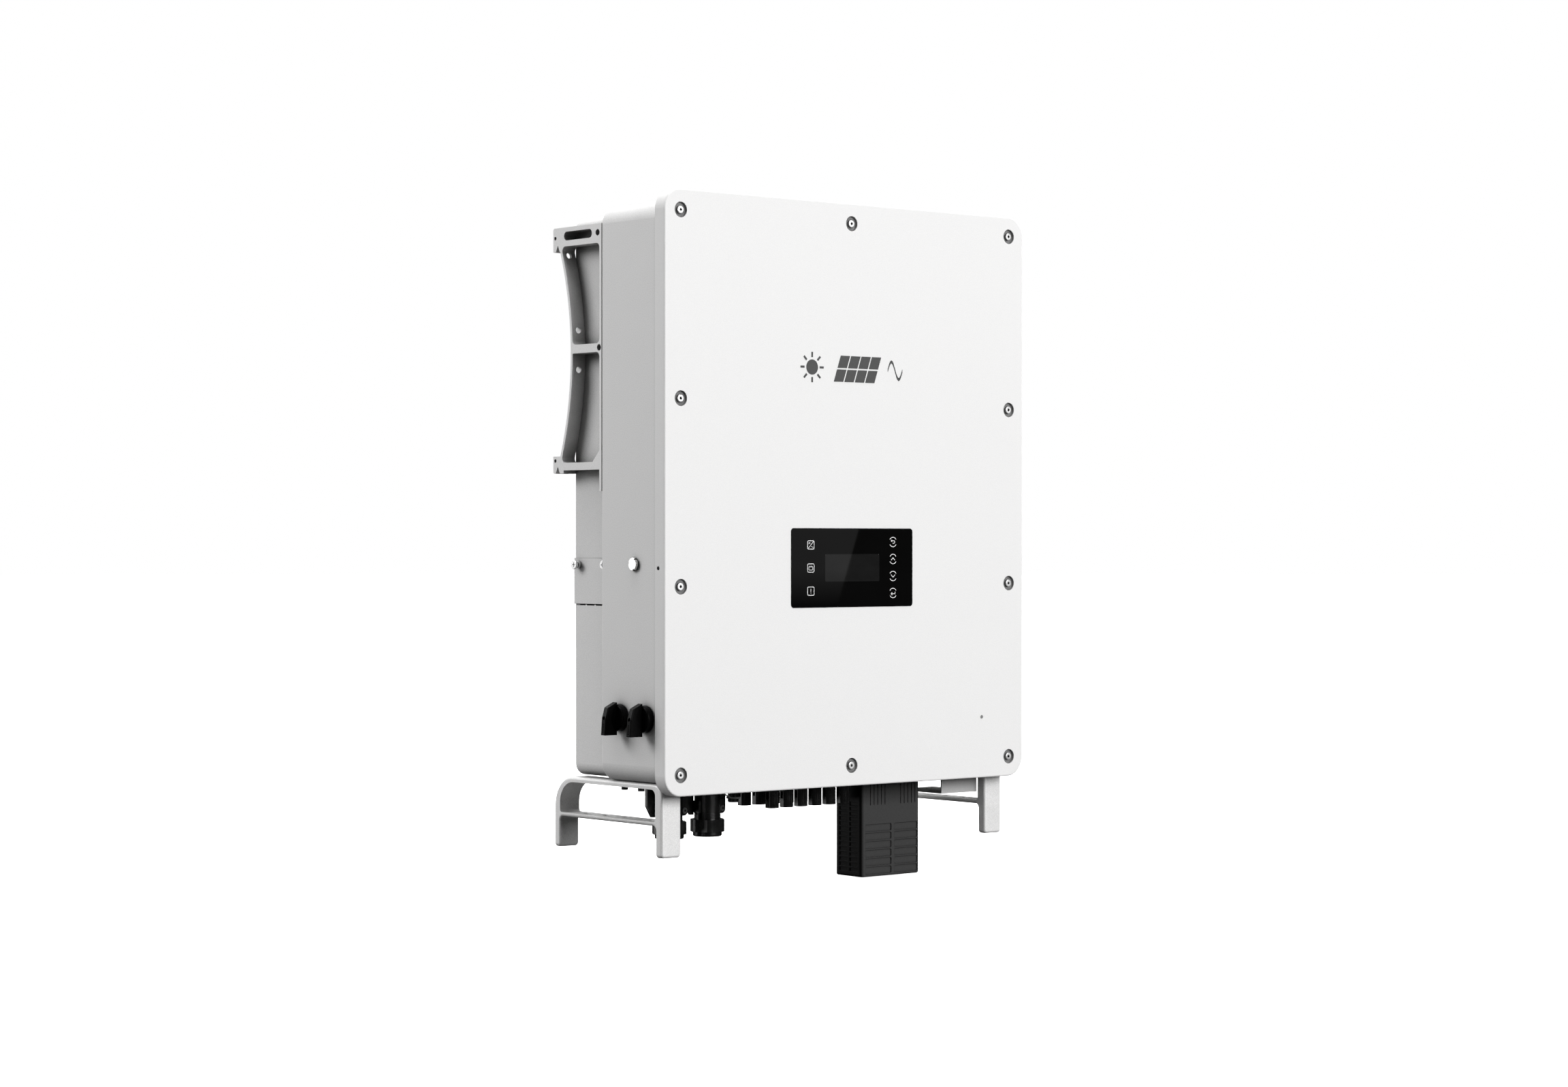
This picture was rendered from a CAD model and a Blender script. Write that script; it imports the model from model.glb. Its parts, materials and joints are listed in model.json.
"""Looks of the wall-hung string inverter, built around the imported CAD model."""

import json
import math

import bmesh
import bpy
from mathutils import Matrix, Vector


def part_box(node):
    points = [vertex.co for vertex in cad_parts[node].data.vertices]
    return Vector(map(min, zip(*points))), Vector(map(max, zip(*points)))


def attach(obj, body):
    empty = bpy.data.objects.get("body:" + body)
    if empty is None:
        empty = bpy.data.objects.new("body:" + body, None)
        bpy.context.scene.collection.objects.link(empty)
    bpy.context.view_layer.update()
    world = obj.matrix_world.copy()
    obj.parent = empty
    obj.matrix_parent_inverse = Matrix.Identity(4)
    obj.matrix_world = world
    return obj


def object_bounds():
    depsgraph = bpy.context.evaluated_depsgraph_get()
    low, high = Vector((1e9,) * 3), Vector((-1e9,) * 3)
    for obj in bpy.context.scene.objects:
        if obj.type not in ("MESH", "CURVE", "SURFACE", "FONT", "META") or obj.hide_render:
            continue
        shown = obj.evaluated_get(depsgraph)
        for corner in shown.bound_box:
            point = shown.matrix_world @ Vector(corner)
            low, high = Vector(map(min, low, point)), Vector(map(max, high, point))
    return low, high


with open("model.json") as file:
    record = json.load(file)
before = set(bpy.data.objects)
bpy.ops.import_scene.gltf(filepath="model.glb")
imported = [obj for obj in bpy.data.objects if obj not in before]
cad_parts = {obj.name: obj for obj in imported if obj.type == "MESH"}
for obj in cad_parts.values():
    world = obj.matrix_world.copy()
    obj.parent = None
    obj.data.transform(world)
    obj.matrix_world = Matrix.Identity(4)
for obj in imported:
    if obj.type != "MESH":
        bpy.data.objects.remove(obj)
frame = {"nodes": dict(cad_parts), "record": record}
CAD_LOW, CAD_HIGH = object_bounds()


# ---- Node tools ----

class Shader:
    """One procedural material under construction."""

    def __init__(self, name, **inputs):
        self.material = bpy.data.materials.new(name)
        self.material.use_nodes = True
        self.tree = self.material.node_tree
        self.surface = self.tree.nodes["Principled BSDF"]
        for socket, value in inputs.items():
            self.surface.inputs[socket.replace("_", " ")].default_value = value
        place = self.add("ShaderNodeTexCoord")
        self.place = place.outputs["Object"]

    def add(self, kind, **settings):
        """A new node of that kind."""
        made = self.tree.nodes.new(kind)
        for key, value in settings.items():
            setattr(made, key, value)
        return made

    def link(self, source, target):
        self.tree.links.new(source, target)

    def stretched(self, scale):
        """Object coordinates scaled by a different factor along each axis."""
        mapping = self.add("ShaderNodeMapping")
        mapping.inputs["Scale"].default_value = scale
        self.link(self.place, mapping.inputs["Vector"])
        return mapping.outputs["Vector"]

    def noise(self, grain, detail=3.0, place=None):
        """Noise whose grains are about that many metres across."""
        texture = self.add("ShaderNodeTexNoise")
        texture.inputs["Scale"].default_value = 1.0 / grain
        texture.inputs["Detail"].default_value = detail
        self.link(place or self.place, texture.inputs["Vector"])
        return texture.outputs["Fac"]

    def spread(self, value, low, high, start=0.3, end=0.7):
        """The value from start to end, stretched from low to high."""
        ramp = self.add("ShaderNodeMapRange", clamp=True)
        for socket, number in (("From Min", start), ("From Max", end), ("To Min", low), ("To Max", high)):
            ramp.inputs[socket].default_value = number
        self.link(value, ramp.inputs["Value"])
        return ramp.outputs["Result"]

    def blend(self, factor, first, second):
        """Two colours mixed by a factor."""
        mix = self.add("ShaderNodeMix", data_type="RGBA")
        mix.inputs["A"].default_value = (*first, 1.0)
        mix.inputs["B"].default_value = (*second, 1.0)
        self.link(factor, mix.inputs["Factor"])
        return mix.outputs["Result"]

    def bump(self, height, depth, normal=None):
        """Relief of that many metres."""
        relief = self.add("ShaderNodeBump")
        relief.inputs["Strength"].default_value = 1.0
        relief.inputs["Distance"].default_value = depth
        self.link(height, relief.inputs["Height"])
        if normal:
            self.link(normal, relief.inputs["Normal"])
        return relief.outputs["Normal"]

    def soft_edges(self, radius):
        """Normal that rounds every sharp edge."""
        edge = self.add("ShaderNodeBevel", samples=4)
        edge.inputs["Radius"].default_value = radius
        return edge.outputs["Normal"]

    def shaded_recesses(self, colour, depth, reach=0.03):
        """The colour, darkened by grime and weak light where other faces stand closer than reach."""
        hollow = self.add("ShaderNodeAmbientOcclusion", samples=6)
        hollow.inputs["Distance"].default_value = reach
        mix = self.add("ShaderNodeMix", data_type="RGBA", blend_type="MULTIPLY")
        self.link(colour, mix.inputs["A"])
        dark = 1.0 - depth
        mix.inputs["B"].default_value = (dark, dark, dark, 1.0)
        self.link(self.spread(hollow.outputs["AO"], 1.0, 0.0, 0.3, 0.95), mix.inputs["Factor"])
        return mix.outputs["Result"]

    def set(self, **sources):
        """Links the surface's sockets to their sources, and gives back the material."""
        for socket, source in sources.items():
            self.link(source, self.surface.inputs[socket.replace("_", " ")])
        return self.material


def shade(colour, factor):
    """The colour made lighter or darker."""
    return tuple(min(1.0, channel * factor) for channel in colour)


def grey(value, warmth=0.0):
    """Neutral colour, a little warm if warmth is above zero."""
    return (value * (1 + warmth), value, value * (1 - warmth))


# ---- Materials ----

def powder_coat(name, colour, roughness, grain, relief, mottle=0.08, recess=0.5, reach=0.03):
    """Baked powder paint: fine orange peel, faint cloudiness and softly rounded edges."""
    paint = Shader(name, Roughness=roughness, Specular_IOR_Level=0.4)
    peel = paint.noise(grain, 2.0)
    tone = paint.blend(
        paint.spread(peel, 0.0, 1.0), shade(colour, 1 - mottle), shade(colour, 1 + mottle),
    )
    colour_out = paint.shaded_recesses(tone, recess, reach)
    normal = paint.bump(peel, relief, paint.soft_edges(0.0006))
    rough = paint.spread(paint.noise(0.03, 5.0), roughness - 0.05, roughness + 0.06)
    return paint.set(Base_Color=colour_out, Roughness=rough, Normal=normal)


def moulded_plastic(name, colour, roughness, relief=0.00003, grain=0.0009, edge=0.0004, gloss=0.5):
    """Injection-moulded plastic with a fine eroded texture."""
    plastic = Shader(name, Roughness=roughness, Specular_IOR_Level=gloss)
    tone = plastic.blend(
        plastic.spread(plastic.noise(0.02, 4.0), 0.0, 1.0), shade(colour, 0.85), shade(colour, 1.15),
    )
    normal = plastic.bump(plastic.noise(grain, 3.0), relief, plastic.soft_edges(edge))
    rough = plastic.spread(plastic.noise(0.012, 4.0), roughness - 0.06, roughness + 0.07)
    return plastic.set(Base_Color=tone, Roughness=rough, Normal=normal)


def eroded_hood(name):
    """Black moulding, glossy on its sides and spark-eroded to a matt dark grey on its front and rear."""
    hood = Shader(name, Specular_IOR_Level=0.06)
    way = hood.add("ShaderNodeNewGeometry")
    parts = hood.add("ShaderNodeSeparateXYZ")
    size = hood.add("ShaderNodeMath", operation="ABSOLUTE")
    hood.link(way.outputs["True Normal"], parts.inputs["Vector"])
    hood.link(parts.outputs["Y"], size.inputs[0])
    faces_front = hood.spread(size.outputs["Value"], 0.0, 1.0, 0.55, 0.98)
    grain = hood.noise(0.0009, 3.0)
    matt = hood.blend(hood.spread(grain, 0.0, 1.0), grey(0.042), grey(0.052))
    mix = hood.add("ShaderNodeMix", data_type="RGBA")
    mix.inputs["A"].default_value = (*grey(0.003), 1.0)
    hood.link(hood.shaded_recesses(matt, 0.6, 0.004), mix.inputs["B"])
    hood.link(faces_front, mix.inputs["Factor"])
    rough = hood.spread(faces_front, 0.28, 0.55, 0.0, 1.0)
    normal = hood.bump(grain, 0.00003, hood.soft_edges(0.0008))
    return hood.set(Base_Color=mix.outputs["Result"], Roughness=rough, Normal=normal)


def worked_metal(name, colour, roughness, stretch, grain=0.004, relief=0.000012, edge=0.0003):
    """Bare metal with drawn or turned lines. stretch is the scale of the grain along each axis."""
    metal = Shader(name, Metallic=1.0, Roughness=roughness)
    lines = metal.noise(grain, 5.0, metal.stretched(stretch))
    tone = metal.blend(metal.spread(lines, 0.0, 1.0), shade(colour, 0.9), shade(colour, 1.05))
    tone = metal.shaded_recesses(tone, 0.9, 0.005)
    rough = metal.spread(metal.noise(0.01, 4.0), roughness - 0.06, roughness + 0.08)
    normal = metal.bump(lines, relief, metal.soft_edges(edge))
    return metal.set(Base_Color=tone, Roughness=rough, Normal=normal)


def blasted_aluminium(name, colour, roughness):
    """Aluminium extrusion, bead blasted and clear coated, so that it looks like fine silver paint."""
    metal = Shader(name, Metallic=0.15, Roughness=roughness)
    sparkle = metal.noise(0.0010, 2.0)
    tone = metal.blend(metal.spread(sparkle, 0.0, 1.0), shade(colour, 0.88), shade(colour, 1.09))
    tone = metal.shaded_recesses(tone, 0.3)
    die_lines = metal.noise(0.003, 3.0, metal.stretched((0.02, 1.0, 1.0)))
    normal = metal.bump(die_lines, 0.00002, metal.bump(sparkle, 0.00003, metal.soft_edges(0.0008)))
    rough = metal.spread(metal.noise(0.015, 4.0), roughness - 0.05, roughness + 0.07)
    return metal.set(Base_Color=tone, Roughness=rough, Normal=normal)


def soft_rubber(name, colour):
    """Matt elastomer with a dusty bloom."""
    rubber = Shader(name, Roughness=0.75, Specular_IOR_Level=0.3)
    tone = rubber.blend(
        rubber.spread(rubber.noise(0.006, 5.0), 0.0, 1.0), shade(colour, 0.8), shade(colour, 1.35),
    )
    normal = rubber.bump(rubber.noise(0.0007, 3.0), 0.00004, rubber.soft_edges(0.0003))
    return rubber.set(Base_Color=tone, Normal=normal)


def printed_glass(name, tone_value=0.0008, gloss=0.32):
    """Cover glass, printed black from behind, with faint smears that change its gloss."""
    glass = Shader(name, Roughness=0.02, Specular_IOR_Level=gloss)
    smears = glass.noise(0.05, 4.0, glass.stretched((1.0, 1.0, 2.6)))
    tone = glass.blend(glass.spread(smears, 0.0, 1.0), grey(tone_value), grey(tone_value * 1.6))
    rough = glass.spread(smears, 0.010, 0.022)
    return glass.set(Base_Color=tone, Roughness=rough, Normal=glass.soft_edges(0.0005))


def circuit_board(name):
    """Green solder mask over copper tracks, with pale pads."""
    board = Shader(name, Roughness=0.4, Specular_IOR_Level=0.5)
    tracks = board.add("ShaderNodeTexVoronoi", feature="DISTANCE_TO_EDGE", distance="MANHATTAN")
    tracks.inputs["Scale"].default_value = 160.0
    board.link(board.place, tracks.inputs["Vector"])
    lines = board.spread(tracks.outputs["Distance"], 1.0, 0.0, 0.02, 0.09)
    tone = board.blend(lines, (0.006, 0.075, 0.030), (0.018, 0.17, 0.065))
    return board.set(Base_Color=tone, Normal=board.bump(lines, 0.00006))


def copper_bar(name):
    """Copper with a thin tin finish that lets the colour through in places."""
    bar = Shader(name, Metallic=1.0, Roughness=0.34)
    patches = bar.noise(0.012, 5.0)
    tone = bar.blend(bar.spread(patches, 0.0, 1.0), (0.78, 0.40, 0.24), (0.86, 0.55, 0.40))
    rough = bar.spread(patches, 0.26, 0.42)
    return bar.set(Base_Color=tone, Roughness=rough, Normal=bar.bump(patches, 0.00002))


def print_ink(name, colour, roughness=0.5):
    """Screen-printed ink with slightly uneven cover."""
    ink = Shader(name, Roughness=roughness)
    tone = ink.blend(
        ink.spread(ink.noise(0.0012, 3.0), 0.0, 1.0), shade(colour, 0.92), shade(colour, 1.04),
    )
    rough = ink.spread(ink.noise(0.002, 3.0), roughness - 0.05, roughness + 0.05)
    return ink.set(Base_Color=tone, Roughness=rough)


def lit_plastic(name, colour):
    """Milky plastic of a light pipe."""
    pipe = Shader(name, Roughness=0.3, Subsurface_Weight=0.3)
    tone = pipe.blend(pipe.spread(pipe.noise(0.002), 0.0, 1.0), shade(colour, 0.92), colour)
    return pipe.set(Base_Color=tone, Normal=pipe.bump(pipe.noise(0.001), 0.00002))


# Scales of the grain for metal that is drawn or turned along each axis.
ALONG_X = (0.04, 1.0, 1.0)
ALONG_Y = (1.0, 0.04, 1.0)
ALONG_Z = (1.0, 1.0, 0.04)


def materials():
    """One finish for each material slot of the record."""
    return {
        "cover_white": powder_coat("cover_white", grey(0.80, 0.003), 0.50, 0.0011, 0.00003, mottle=0.03),
        "case_grey": powder_coat(
            "case_grey", grey(0.77, 0.003), 0.52, 0.0011, 0.00005, recess=0.85, reach=0.07,
        ),
        "bracket_grey": powder_coat("bracket_grey", grey(0.82, 0.003), 0.5, 0.0010, 0.00005, recess=0.7),
        "foot_aluminium": blasted_aluminium("foot_aluminium", grey(0.80, 0.004), 0.42),
        "bent_sheet": powder_coat("bent_sheet", grey(0.50, 0.003), 0.5, 0.0009, 0.00004),
        "stainless_steel": worked_metal("stainless_steel", grey(0.80), 0.42, ALONG_Y),
        "dark_steel": worked_metal("dark_steel", grey(0.06), 0.4, ALONG_Y),
        "nickel": worked_metal("nickel", grey(0.85, 0.01), 0.16, ALONG_X),
        "seal_rubber": soft_rubber("seal_rubber", grey(0.030)),
        "washer_grey": soft_rubber("washer_grey", grey(0.16)),
        "display_glass": printed_glass("display_glass"),
        "lcd_panel": moulded_plastic("lcd_panel", grey(0.012), 0.2),
        "lamp_plastic": lit_plastic("lamp_plastic", grey(0.85)),
        "circuit_board": circuit_board("circuit_board"),
        "emblem_print": print_ink("emblem_print", grey(0.045)),
        "lens_grey": moulded_plastic("lens_grey", grey(0.22), 0.25),
        "heat_sink_aluminium": worked_metal("heat_sink_aluminium", grey(0.80), 0.38, ALONG_Z),
        "potted_inductor": powder_coat("potted_inductor", grey(0.10), 0.55, 0.0010, 0.00006),
        "fan_plastic": moulded_plastic("fan_plastic", grey(0.018), 0.45),
        "switch_plastic": moulded_plastic(
            "switch_plastic", grey(0.003), 0.24, relief=0.00002, grain=0.0012, edge=0.0006, gloss=0.05,
        ),
        "shaft_steel": worked_metal("shaft_steel", grey(0.60), 0.3, ALONG_X),
        "connector_plastic": moulded_plastic(
            "connector_plastic", grey(0.003), 0.20, relief=0.00002, grain=0.0012, gloss=0.55,
        ),
        "hood_plastic": eroded_hood("hood_plastic"),
        "component_plastic": moulded_plastic("component_plastic", grey(0.08), 0.5),
        "capacitor_can": moulded_plastic("capacitor_can", (0.02, 0.03, 0.08), 0.3),
        "copper": copper_bar("copper"),
    }


FINISH = materials()


def finish_node(name, material):
    """Gives every face of a CAD node one material."""
    thing = frame["nodes"][name]
    thing.data.materials.clear()
    thing.data.materials.append(material)


def finish_cad_nodes():
    """Gives every CAD node the finish of its material slot."""
    for part in frame["record"]["subparts"]:
        finish_node(part["node"], FINISH[part["material_slot"]])


# ---- Flat printed marks ----

def flat_piece(name, outlines, depth, thick, material):
    """Closed outlines in the XZ plane as one thin solid piece whose front is at that y."""
    mesh = bpy.data.meshes.new(name)
    shape = bmesh.new()
    for outline in outlines:
        corners = [shape.verts.new((x, depth + thick, z)) for x, z in outline]
        face = shape.faces.new(corners)
        face.normal_update()
        raised = bmesh.ops.extrude_face_region(shape, geom=[face])
        moved = [item for item in raised["geom"] if isinstance(item, bmesh.types.BMVert)]
        bmesh.ops.translate(shape, vec=(0.0, -thick, 0.0), verts=moved)
    bmesh.ops.recalc_face_normals(shape, faces=shape.faces)
    shape.to_mesh(mesh)
    shape.free()
    piece = bpy.data.objects.new(name, mesh)
    bpy.context.collection.objects.link(piece)
    piece.data.materials.append(material)
    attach(piece, "root")


def stroke(points, width, closed=False):
    """Quads of a line of that width through points, with mitred joints so that none overlap."""
    count = len(points)
    runs = count if closed else count - 1
    sides = []
    for k in range(runs):
        (x0, z0), (x1, z1) = points[k], points[(k + 1) % count]
        length = math.hypot(x1 - x0, z1 - z0)
        sides.append(((z0 - z1) / length, (x1 - x0) / length))
    edges = []
    for k, (x, z) in enumerate(points):
        before = sides[(k - 1) % runs] if closed or k > 0 else sides[0]
        after = sides[k % runs] if closed or k < runs else sides[-1]
        across_x, across_z = before[0] + after[0], before[1] + after[1]
        reach = width / (across_x ** 2 + across_z ** 2)
        step_x, step_z = across_x * reach, across_z * reach
        edges.append(((x + step_x, z + step_z), (x - step_x, z - step_z)))
    outlines = []
    for k in range(runs):
        (left_0, right_0), (left_1, right_1) = edges[k], edges[(k + 1) % count]
        outlines.append([left_0, left_1, right_1, right_0])
    return outlines


def rounded_rectangle(x, z, half_width, half_height, radius, steps=6):
    """Corners of a rounded rectangle about a centre."""
    outline = []
    for quarter, (sx, sz) in enumerate(((1, 1), (-1, 1), (-1, -1), (1, -1))):
        for k in range(steps + 1):
            angle = (quarter + k / steps) * math.pi / 2
            outline.append((x + sx * (half_width - radius) + radius * math.cos(angle),
                            z + sz * (half_height - radius) + radius * math.sin(angle)))
    return outline


def arc(x, z, radius_x, radius_z, start, end, steps=12):
    """Points on part of an ellipse, in degrees."""
    angles = [math.radians(start + (end - start) * k / steps) for k in range(steps + 1)]
    return [(x + radius_x * math.cos(a), z + radius_z * math.sin(a)) for a in angles]


MM = 0.001
LINE = 0.85 * MM

# The icons' columns, measured from the glass's left and right edges.
LAMPS_IN = 32.0 * MM
LAMP_PITCH = 28.9 * MM
LAMP_HALF_WIDTH = 5.3 * MM
LAMP_HALF_HEIGHT = 5.2 * MM
LAMP_CORNER = 1.5 * MM
KEYS_IN = 33.5 * MM
KEY_PITCH = 21.7 * MM
KEY_RADIUS = 6.1 * MM
KEY_ARC = 116
KEY_ARC_STARTS = (32, 212)
GLYPH_HALF_WIDTH = 3.4 * MM
GLYPH_HALF_HEIGHT = 1.6 * MM

# The liquid crystal window's centre from the glass's left edge, and its size.
WINDOW_IN = 101.1 * MM
WINDOW_HALF_WIDTH = 45.6 * MM
WINDOW_HALF_HEIGHT = 17.3 * MM
WINDOW_CORNER = 2.0 * MM

# How far the marks stand proud of the glass, and how thick they are.
INK_RISE = 0.06 * MM
INK_THICK = 0.08 * MM
WINDOW_RISE = 0.04 * MM
WINDOW_THICK = 0.06 * MM


def lamp_icons(x, middle):
    """Three framed lamp marks: direct to alternating current, battery, and fault."""
    marks = []
    for k in (1, 0, -1):
        outline = rounded_rectangle(
            x, middle + k * LAMP_PITCH, LAMP_HALF_WIDTH, LAMP_HALF_HEIGHT, LAMP_CORNER, 3,
        )
        marks += stroke(outline, LINE, True)
    top = middle + LAMP_PITCH
    marks += stroke([(x - 4.6 * MM, top - 4.6 * MM), (x + 4.6 * MM, top + 4.6 * MM)], 0.8 * LINE)
    for lift in (1.7, 3.0):
        marks += stroke([(x - 3.8 * MM, top + lift * MM), (x - 0.9 * MM, top + lift * MM)], 0.6 * LINE)
    wave = []
    for k in range(9):
        height = -2.4 + 0.8 * math.sin(k * math.pi / 4)
        wave.append((x + (0.7 + 0.4 * k) * MM, top + height * MM))
    marks += stroke(wave, 0.6 * LINE)
    battery = rounded_rectangle(x, middle - 0.5 * MM, 3.1 * MM, 2.0 * MM, 0.4 * MM, 2)
    marks += stroke(battery, 0.7 * LINE, True)
    for side in (-1.5, 1.5):
        marks += stroke([(x + side * MM, middle + 1.8 * MM), (x + side * MM, middle + 2.9 * MM)], LINE)
    fault = middle - LAMP_PITCH
    marks += stroke([(x, fault + 2.9 * MM), (x, fault - 0.8 * MM)], LINE)
    marks += stroke([(x, fault - 2.0 * MM), (x, fault - 2.9 * MM)], LINE)
    return marks


def key_icons(x, middle):
    """Four touch keys, each a glyph between two arcs."""
    marks = []
    for k in range(4):
        z = middle + (1.5 - k) * KEY_PITCH
        for start in KEY_ARC_STARTS:
            marks += stroke(arc(x, z, KEY_RADIUS, KEY_RADIUS, start, start + KEY_ARC), LINE)
        for line in key_glyph(k, x, z):
            marks += stroke(line, LINE)
    return marks


def key_glyph(number, x, z):
    """Lines inside a touch key: back arrow, up, down, and enter arrow."""
    u, v = GLYPH_HALF_WIDTH, GLYPH_HALF_HEIGHT
    if number == 0:
        hook = [(x - u, z + v)] + arc(x + 1.4 * MM, z, v, v, 90, -90, 8) + [(x - 0.2 * u, z - v)]
        return [hook, [(x - 0.55 * u, z + 1.8 * v), (x - u, z + v), (x - 0.55 * u, z + 0.2 * v)]]
    if number == 1:
        return [[(x - u, z - v), (x, z + v), (x + u, z - v)]]
    if number == 2:
        return [[(x - u, z + v), (x, z - v), (x + u, z + v)]]
    return [[(x + u, z + v), (x + u, z - 0.6 * v), (x - u, z - 0.6 * v)],
            [(x - 0.4 * u, z + 0.5 * v), (x - u, z - 0.6 * v), (x - 0.4 * u, z - 1.7 * v)]]


def display_marks():
    """White icons of the lamps and touch keys, and the liquid crystal window."""
    low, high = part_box("display_glass")
    face = low.y
    middle = (low.z + high.z) / 2
    white = print_ink("icon_white", grey(0.85), 0.35)
    lamps = lamp_icons(low.x + LAMPS_IN, middle)
    flat_piece("lamp_icons", lamps, face - INK_RISE, INK_THICK, white)
    keys = key_icons(high.x - KEYS_IN, middle)
    flat_piece("key_icons", keys, face - INK_RISE, INK_THICK, white)
    window = rounded_rectangle(
        low.x + WINDOW_IN, middle, WINDOW_HALF_WIDTH, WINDOW_HALF_HEIGHT, WINDOW_CORNER,
    )
    screen = printed_glass("screen_window", tone_value=0.0055, gloss=0.6)
    flat_piece("screen_window", [window], face - WINDOW_RISE, WINDOW_THICK, screen)


# ---- Studio ----

WHITE = (1.0, 1.0, 1.0, 1.0)
BLACK = (0.0, 0.0, 0.0, 1.0)
SURROUNDING_LIGHT = 0.06
FLOOR_RADIUS = 40.0
FLOOR_GAP = 0.004

# The dim panel that the display mirrors: its plane, corners as x and z, and the heights between
# which it fades in to its full glow.
CARD_PLANE = -3.014
CARD_CORNERS = ((1.75, -0.20), (2.521, -0.20), (2.385, -0.566), (1.75, -0.566))
CARD_FADE = (-0.53, -0.44)
CARD_GLOW = 0.36

FOCAL_LENGTH = 74.87
SENSOR_WIDTH = 36.0
CAMERA_PLACE = (-2.71887, -3.32437, -0.37270)
CAMERA_TILT = 89.976
CAMERA_TURN = -40.044
VIEW_LIMIT = 200.0

# Name, place from the object's centre, width and height in metres, power in watts.
LAMPS = (
    ("key", (2.1, -9.5, 3.0), 6.2, 5.2, 1140.0),
    ("left", (-6.3, 4.8, 4.0), 5.0, 4.0, 500.0),
    ("right", (7.5, 1.0, 4.0), 5.0, 4.0, 340.0),
    ("rear", (2.0, 8.0, 4.4), 5.0, 4.0, 340.0),
    ("top", (0.0, 0.0, 6.0), 4.0, 4.0, 290.0),
    ("left_card", (-1.93, 2.30, 0.0), 1.3, 1.5, 8.5),
    ("left_strip", (-3.19, -0.50, -0.3), 0.4, 1.8, 2.2),
)


def studio():
    """Pale floor, white backdrop, a large soft lamp on every side, and cards for the metal to mirror."""
    floor_mesh = bpy.data.meshes.new("floor")
    shape = bmesh.new()
    bmesh.ops.create_circle(shape, cap_ends=True, segments=96, radius=FLOOR_RADIUS)
    shape.to_mesh(floor_mesh)
    shape.free()
    floor = bpy.data.objects.new("floor", floor_mesh)
    floor.location.z = CAD_LOW.z - FLOOR_GAP
    bpy.context.collection.objects.link(floor)
    ground = Shader("floor_white", Roughness=0.9, Specular_IOR_Level=0.1)
    tone = ground.blend(ground.noise(0.5, 2.0), grey(0.93), grey(0.95))
    floor.data.materials.append(ground.set(Base_Color=tone))
    ground.surface.inputs["Emission Color"].default_value = WHITE
    ground.surface.inputs["Emission Strength"].default_value = 1.0
    floor.visible_diffuse = False
    floor.visible_glossy = False

    bpy.context.scene.world = surroundings()
    centre = (CAD_LOW + CAD_HIGH) / 2
    for name, place, width, height, power in LAMPS:
        lamp(name, centre + Vector(place), centre, width, height, power)
    glass_card()


def glass_card():
    """Dim panel in front, to the right, that the display's glass mirrors up to a slanting edge."""
    mesh = bpy.data.meshes.new("glass_card")
    shape = bmesh.new()
    shape.faces.new([shape.verts.new((x, CARD_PLANE, z)) for x, z in CARD_CORNERS])
    shape.to_mesh(mesh)
    shape.free()
    card = bpy.data.objects.new("glass_card", mesh)
    bpy.context.collection.objects.link(card)
    glow = Shader("glass_card", Base_Color=BLACK)
    height = glow.add("ShaderNodeSeparateXYZ")
    glow.link(glow.place, height.inputs["Vector"])
    fade = glow.spread(height.outputs["Z"], 0.0, CARD_GLOW, *CARD_FADE)
    glow.surface.inputs["Emission Color"].default_value = WHITE
    card.data.materials.append(glow.set(Emission_Strength=fade))
    card.visible_camera = False
    card.visible_diffuse = False
    card.visible_shadow = False


def surroundings():
    """White where the camera looks, and a weak even light on the object."""
    world = bpy.data.worlds.new("studio")
    world.use_nodes = True
    tree = world.node_tree
    ray = tree.nodes.new("ShaderNodeLightPath")
    strength = tree.nodes.new("ShaderNodeMix")
    tree.links.new(ray.outputs["Is Camera Ray"], strength.inputs["Factor"])
    strength.inputs["A"].default_value = SURROUNDING_LIGHT
    strength.inputs["B"].default_value = 1.0
    backdrop = tree.nodes["Background"]
    backdrop.inputs["Color"].default_value = WHITE
    tree.links.new(strength.outputs["Result"], backdrop.inputs["Strength"])
    return world


def lamp(name, place, target, width, height, power):
    """Large soft area lamp aimed at a point."""
    light = bpy.data.lights.new(name, "AREA")
    light.shape = "RECTANGLE"
    light.size, light.size_y = width, height
    light.energy = power
    thing = bpy.data.objects.new(name, light)
    thing.location = place
    thing.rotation_mode = "QUATERNION"
    thing.rotation_quaternion = (target - place).to_track_quat("-Z", "Y")
    bpy.context.collection.objects.link(thing)


def camera():
    """Level camera to the front left, as far away as the object's proportions show."""
    lens = bpy.data.cameras.new("camera")
    lens.lens = FOCAL_LENGTH
    lens.sensor_width = SENSOR_WIDTH
    lens.clip_end = VIEW_LIMIT
    thing = bpy.data.objects.new("camera", lens)
    thing.location = CAMERA_PLACE
    thing.rotation_euler = (math.radians(CAMERA_TILT), 0.0, math.radians(CAMERA_TURN))
    bpy.context.collection.objects.link(thing)
    bpy.context.scene.camera = thing


camera()
finish_cad_nodes()
display_marks()
studio()
bpy.context.scene.view_settings.view_transform = "Standard"
